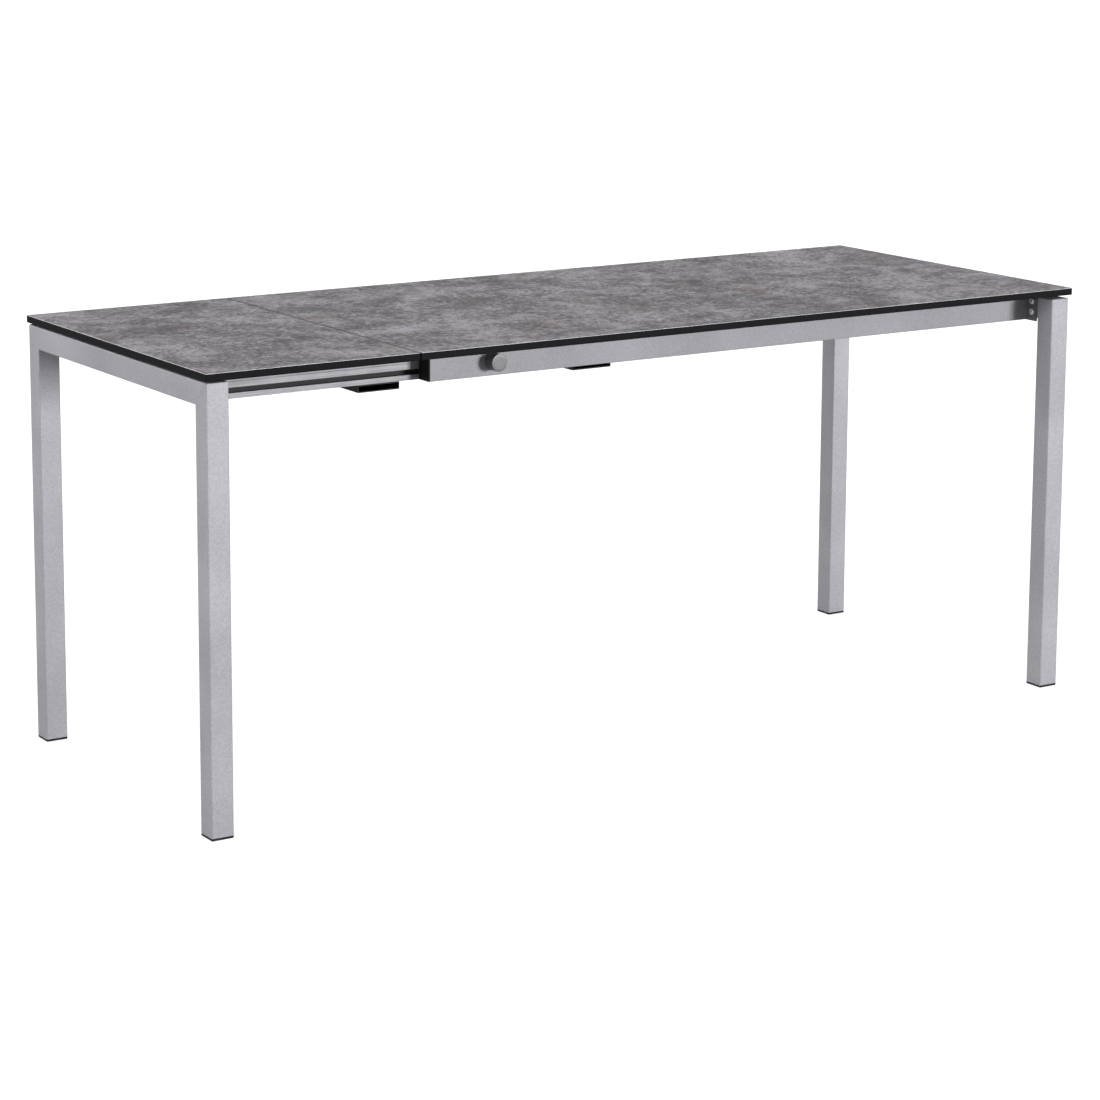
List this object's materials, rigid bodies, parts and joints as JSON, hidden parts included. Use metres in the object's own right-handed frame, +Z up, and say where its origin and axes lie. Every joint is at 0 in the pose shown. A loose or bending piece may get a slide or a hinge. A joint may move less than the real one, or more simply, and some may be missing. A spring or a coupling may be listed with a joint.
{
  "type": "extendable dining table",
  "caption": "Dining table with square legs at its corners and a loose extension leaf beside the main top; one leg frame pulls out on telescoping rails held by lock knobs.",
  "frame": {"origin": "on the floor, below the middle of the extended top", "axes": "+X along the top from the extension leaf to the main top's fixed legs, +Y from the front long side to the back, +Z up"},
  "size_m": [1.8, 0.7, 0.765],
  "materials": {
    "stone_decor": "satin compact laminate, mottled grey concrete decor",
    "black_core": "black phenolic core, fine sawn edge",
    "silver_coat": "fine silver powder coat, satin",
    "anodised_aluminium": "satin anodised extrusion",
    "black_plastic": "moulded, fine grain",
    "black_steel": "black powder coat",
    "bright_steel": "bright stainless",
    "zinc_steel": "zinc plated",
    "rubber": "matt"
  },
  "bodies": {
    "main_frame": {"main_top": "black_core", "main_top_decor": "stone_decor", "front_right_leg": "silver_coat", "back_right_leg": "silver_coat", "front_right_foot": "black_plastic", "back_right_foot": "black_plastic", "right_crossbar": "silver_coat", "front_main_rail": "silver_coat", "back_main_rail": "silver_coat", "front_rail_end_cap": "black_plastic", "back_rail_end_cap": "black_plastic", "front_rail_flange": "silver_coat", "back_rail_flange": "silver_coat", "front_flange_screws": "bright_steel", "back_flange_screws": "bright_steel", "right_rivet_nuts": "zinc_steel", "front_glides": "black_plastic", "back_glides": "black_plastic", "front_lock_nut": "zinc_steel", "back_lock_nut": "zinc_steel", "main_rail_pads": "rubber", "right_crossbar_pads": "rubber", "main_top_screws": "bright_steel"},
    "carriage": {"front_left_leg": "silver_coat", "back_left_leg": "silver_coat", "front_left_foot": "black_plastic", "back_left_foot": "black_plastic", "left_crossbar": "silver_coat", "front_slide_rail": "anodised_aluminium", "back_slide_rail": "anodised_aluminium", "front_slide_flange": "silver_coat", "back_slide_flange": "silver_coat", "slide_flange_screws": "bright_steel", "left_rivet_nuts": "zinc_steel", "slide_rail_end_caps": "black_plastic", "stop_blocks": "zinc_steel", "outer_cradle_bar": "black_steel", "inner_cradle_bar": "black_steel", "cradle_bar_plugs": "black_plastic", "cradle_screws": "bright_steel", "slide_rail_pads": "rubber", "left_crossbar_pads": "rubber"},
    "leaf": {"extension_leaf": "black_core", "extension_leaf_decor": "stone_decor"},
    "front_lock_clamp": {"front_lock_pad": "black_plastic"},
    "front_lock_turn": {"front_lock_screw": "bright_steel", "front_knob": "anodised_aluminium"},
    "back_lock_clamp": {"back_lock_pad": "black_plastic"},
    "back_lock_turn": {"back_lock_screw": "bright_steel", "back_knob": "anodised_aluminium"}
  },
  "joints": [
    {"name": "carriage_slide", "type": "slide", "parent": "main_frame", "child": "carriage", "axis": [1, 0, 0], "range_m": [0, 0.392]},
    {"name": "leaf_lift", "type": "slide", "parent": "main_frame", "child": "leaf", "axis": [0, 0, 1], "range_m": [0, 0.15]},
    {"name": "front_lock_travel", "type": "slide", "parent": "main_frame", "child": "front_lock_clamp", "axis": [0, -1, 0], "range_m": [0, 0.00187]},
    {"name": "front_knob_turn", "type": "hinge", "parent": "front_lock_clamp", "child": "front_lock_turn", "pos_m": [-0.328, -0.29, 0.725], "axis": [0, -1, 0], "range_deg": [0, 540]},
    {"name": "back_lock_travel", "type": "slide", "parent": "main_frame", "child": "back_lock_clamp", "axis": [0, 1, 0], "range_m": [0, 0.00187]},
    {"name": "back_knob_turn", "type": "hinge", "parent": "back_lock_clamp", "child": "back_lock_turn", "pos_m": [-0.328, 0.29, 0.725], "axis": [0, 1, 0], "range_deg": [0, 540]}
  ],
  "couplings": [
    {"joint": "front_knob_turn", "follows": "front_lock_travel", "rad_per_m": 5026.5},
    {"joint": "back_knob_turn", "follows": "back_lock_travel", "rad_per_m": 5026.5}
  ]
}
